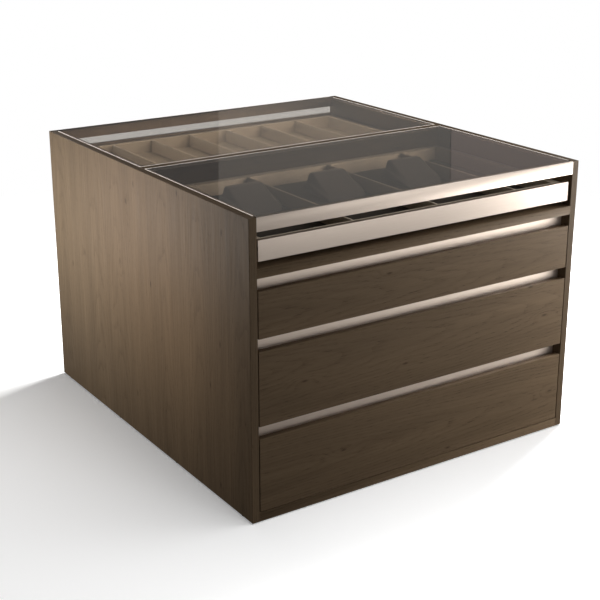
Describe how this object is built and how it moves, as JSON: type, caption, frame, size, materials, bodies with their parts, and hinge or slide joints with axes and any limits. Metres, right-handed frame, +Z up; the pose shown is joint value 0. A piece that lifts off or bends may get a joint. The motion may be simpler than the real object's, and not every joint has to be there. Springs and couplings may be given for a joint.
{
  "type": "closet island with drawers",
  "caption": "Double-sided closet island: dark oak carcass, smoked glass tops over lined jewellery drawers, and wooden drawers with recessed metal grip channels.",
  "frame": {"origin": "on the floor at the centre of the footprint", "axes": "+Z up, +X along the width to the right of someone facing the front bank, -Y out of the front bank of drawers, +Y out of the rear bank"},
  "size_m": [1.2, 1.32, 0.9],
  "materials": {
    "oak_veneer": "dark stained oak veneer, matt lacquer",
    "champagne_aluminium": "satin champagne anodised",
    "smoked_glass": "polished, bronze-grey tint",
    "tray_leather": "matt taupe lining",
    "bust_velvet": "dark grey velvet",
    "box_laminate": "linen-textured laminate on board",
    "runner_steel": "zinc plated",
    "dowel_beech": "plain beech",
    "glide_plastic": "moulded"
  },
  "bodies": {
    "carcass": {"side_panel_left": "oak_veneer", "side_panel_right": "oak_veneer", "base_panel": "oak_veneer", "centre_divider": "oak_veneer", "shelf_front": "oak_veneer", "shelf_rear": "oak_veneer", "floor_glides": "glide_plastic", "carcass_dowels": "dowel_beech", "runner_screws": "runner_steel", "top_rail_front": "champagne_aluminium", "glass_trim_front": "champagne_aluminium", "glass_top_front": "smoked_glass", "cabinet_runners_front": "runner_steel", "grip_profile_front_upper": "champagne_aluminium", "grip_profile_front_middle": "champagne_aluminium", "grip_profile_front_lower": "champagne_aluminium", "top_rail_rear": "champagne_aluminium", "glass_trim_rear": "champagne_aluminium", "glass_top_rear": "smoked_glass", "cabinet_runners_rear": "runner_steel", "grip_profile_rear_upper": "champagne_aluminium", "grip_profile_rear_middle": "champagne_aluminium", "grip_profile_rear_lower": "champagne_aluminium"},
    "front_jewel_drawer": {"jewel_front_front": "champagne_aluminium", "jewel_box_front": "tray_leather", "tray_lining_front": "tray_leather", "tray_dividers_front": "tray_leather", "necklace_busts": "bust_velvet", "drawer_runners_front_jewel": "runner_steel"},
    "front_jewel_middle_runners": {"middle_runners_front_jewel": "runner_steel"},
    "front_upper_drawer": {"drawer_front_front_upper": "oak_veneer", "drawer_box_front_upper": "box_laminate", "drawer_runners_front_upper": "runner_steel"},
    "front_upper_middle_runners": {"middle_runners_front_upper": "runner_steel"},
    "front_middle_drawer": {"drawer_front_front_middle": "oak_veneer", "drawer_box_front_middle": "box_laminate", "drawer_runners_front_middle": "runner_steel"},
    "front_middle_middle_runners": {"middle_runners_front_middle": "runner_steel"},
    "front_lower_drawer": {"drawer_front_front_lower": "oak_veneer", "drawer_box_front_lower": "box_laminate", "drawer_runners_front_lower": "runner_steel"},
    "front_lower_middle_runners": {"middle_runners_front_lower": "runner_steel"},
    "rear_jewel_drawer": {"jewel_front_rear": "champagne_aluminium", "jewel_box_rear": "tray_leather", "tray_lining_rear": "tray_leather", "tray_dividers_rear": "tray_leather", "drawer_runners_rear_jewel": "runner_steel"},
    "rear_jewel_middle_runners": {"middle_runners_rear_jewel": "runner_steel"},
    "rear_upper_drawer": {"drawer_front_rear_upper": "oak_veneer", "drawer_box_rear_upper": "box_laminate", "drawer_runners_rear_upper": "runner_steel"},
    "rear_upper_middle_runners": {"middle_runners_rear_upper": "runner_steel"},
    "rear_middle_drawer": {"drawer_front_rear_middle": "oak_veneer", "drawer_box_rear_middle": "box_laminate", "drawer_runners_rear_middle": "runner_steel"},
    "rear_middle_middle_runners": {"middle_runners_rear_middle": "runner_steel"},
    "rear_lower_drawer": {"drawer_front_rear_lower": "oak_veneer", "drawer_box_rear_lower": "box_laminate", "drawer_runners_rear_lower": "runner_steel"},
    "rear_lower_middle_runners": {"middle_runners_rear_lower": "runner_steel"}
  },
  "joints": [
    {"name": "front_jewel_drawer_slide", "type": "slide", "parent": "carcass", "child": "front_jewel_drawer", "axis": [0, -1, 0], "range_m": [0, 0.53]},
    {"name": "front_jewel_runner_slide", "type": "slide", "parent": "carcass", "child": "front_jewel_middle_runners", "axis": [0, -1, 0], "range_m": [0, 0.265]},
    {"name": "front_upper_drawer_slide", "type": "slide", "parent": "carcass", "child": "front_upper_drawer", "axis": [0, -1, 0], "range_m": [0, 0.53]},
    {"name": "front_upper_runner_slide", "type": "slide", "parent": "carcass", "child": "front_upper_middle_runners", "axis": [0, -1, 0], "range_m": [0, 0.265]},
    {"name": "front_middle_drawer_slide", "type": "slide", "parent": "carcass", "child": "front_middle_drawer", "axis": [0, -1, 0], "range_m": [0, 0.53]},
    {"name": "front_middle_runner_slide", "type": "slide", "parent": "carcass", "child": "front_middle_middle_runners", "axis": [0, -1, 0], "range_m": [0, 0.265]},
    {"name": "front_lower_drawer_slide", "type": "slide", "parent": "carcass", "child": "front_lower_drawer", "axis": [0, -1, 0], "range_m": [0, 0.53]},
    {"name": "front_lower_runner_slide", "type": "slide", "parent": "carcass", "child": "front_lower_middle_runners", "axis": [0, -1, 0], "range_m": [0, 0.265]},
    {"name": "rear_jewel_drawer_slide", "type": "slide", "parent": "carcass", "child": "rear_jewel_drawer", "axis": [0, 1, 0], "range_m": [0, 0.53]},
    {"name": "rear_jewel_runner_slide", "type": "slide", "parent": "carcass", "child": "rear_jewel_middle_runners", "axis": [0, 1, 0], "range_m": [0, 0.265]},
    {"name": "rear_upper_drawer_slide", "type": "slide", "parent": "carcass", "child": "rear_upper_drawer", "axis": [0, 1, 0], "range_m": [0, 0.53]},
    {"name": "rear_upper_runner_slide", "type": "slide", "parent": "carcass", "child": "rear_upper_middle_runners", "axis": [0, 1, 0], "range_m": [0, 0.265]},
    {"name": "rear_middle_drawer_slide", "type": "slide", "parent": "carcass", "child": "rear_middle_drawer", "axis": [0, 1, 0], "range_m": [0, 0.53]},
    {"name": "rear_middle_runner_slide", "type": "slide", "parent": "carcass", "child": "rear_middle_middle_runners", "axis": [0, 1, 0], "range_m": [0, 0.265]},
    {"name": "rear_lower_drawer_slide", "type": "slide", "parent": "carcass", "child": "rear_lower_drawer", "axis": [0, 1, 0], "range_m": [0, 0.53]},
    {"name": "rear_lower_runner_slide", "type": "slide", "parent": "carcass", "child": "rear_lower_middle_runners", "axis": [0, 1, 0], "range_m": [0, 0.265]}
  ],
  "couplings": [
    {"joint": "front_jewel_runner_slide", "follows": "front_jewel_drawer_slide", "ratio": 0.5},
    {"joint": "front_upper_runner_slide", "follows": "front_upper_drawer_slide", "ratio": 0.5},
    {"joint": "front_middle_runner_slide", "follows": "front_middle_drawer_slide", "ratio": 0.5},
    {"joint": "front_lower_runner_slide", "follows": "front_lower_drawer_slide", "ratio": 0.5},
    {"joint": "rear_jewel_runner_slide", "follows": "rear_jewel_drawer_slide", "ratio": 0.5},
    {"joint": "rear_upper_runner_slide", "follows": "rear_upper_drawer_slide", "ratio": 0.5},
    {"joint": "rear_middle_runner_slide", "follows": "rear_middle_drawer_slide", "ratio": 0.5},
    {"joint": "rear_lower_runner_slide", "follows": "rear_lower_drawer_slide", "ratio": 0.5}
  ]
}
